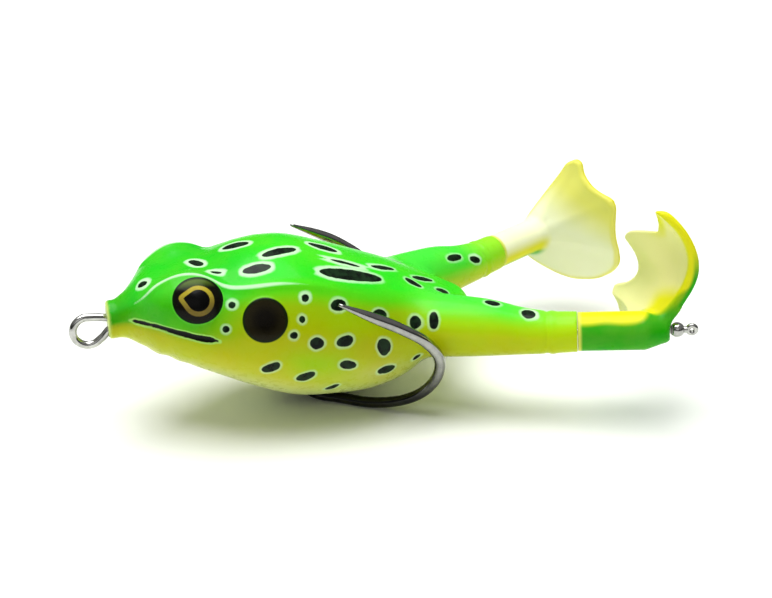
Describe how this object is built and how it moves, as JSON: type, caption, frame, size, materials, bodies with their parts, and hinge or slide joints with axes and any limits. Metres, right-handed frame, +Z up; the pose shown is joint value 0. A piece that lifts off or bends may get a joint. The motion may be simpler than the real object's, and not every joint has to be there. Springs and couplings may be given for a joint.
{
  "type": "double-prop frog lure",
  "caption": "Soft hollow frog lure with a double hook hugging the body, a wire line tie at the nose and webbed feet that spin on wires behind the splayed legs.",
  "frame": {"origin": "on the table, under the middle of the overall length and width", "axes": "+X from nose to tail, +Y from the frog's left side to its right side, +Z up"},
  "size_m": [0.0952, 0.0506, 0.0332],
  "materials": {
    "skin": "glossy painted soft PVC",
    "web": "glossy translucent soft PVC",
    "bright_wire": "polished stainless steel",
    "hook_steel": "dark nickel plated steel",
    "bead_steel": "polished steel",
    "weight_metal": "dull cast metal",
    "plug_plastic": "satin plastic",
    "bush_plastic": "satin low-friction plastic"
  },
  "bodies": {
    "lure_body": {"body_shell": "skin", "line_tie_wire": "bright_wire", "double_hook": "hook_steel", "ballast_weight": "weight_metal", "leg_wire_left": "bright_wire", "leg_wire_right": "bright_wire", "leg_plug_left": "plug_plastic", "leg_plug_right": "plug_plastic"},
    "foot_left_turning": {"foot_left": "web", "foot_bush_left": "bush_plastic"},
    "foot_right_turning": {"foot_right": "web", "foot_bush_right": "bush_plastic"},
    "tail_bead_left_turning": {"tail_bead_left": "bead_steel"},
    "tail_bead_right_turning": {"tail_bead_right": "bead_steel"}
  },
  "joints": [
    {"name": "foot_left_spin", "type": "hinge", "parent": "lure_body", "child": "foot_left_turning", "pos_m": [0.02666, -0.0174, 0.0137], "axis": [0.9107, -0.4055, 0.0785], "continuous": true},
    {"name": "tail_bead_left_spin", "type": "hinge", "parent": "lure_body", "child": "tail_bead_left_turning", "pos_m": [0.02666, -0.0174, 0.0137], "axis": [0.9107, -0.4055, 0.0785], "continuous": true},
    {"name": "foot_right_spin", "type": "hinge", "parent": "lure_body", "child": "foot_right_turning", "pos_m": [0.02666, 0.0174, 0.0137], "axis": [0.9107, 0.4055, 0.0785], "continuous": true},
    {"name": "tail_bead_right_spin", "type": "hinge", "parent": "lure_body", "child": "tail_bead_right_turning", "pos_m": [0.02666, 0.0174, 0.0137], "axis": [0.9107, 0.4055, 0.0785], "continuous": true}
  ]
}
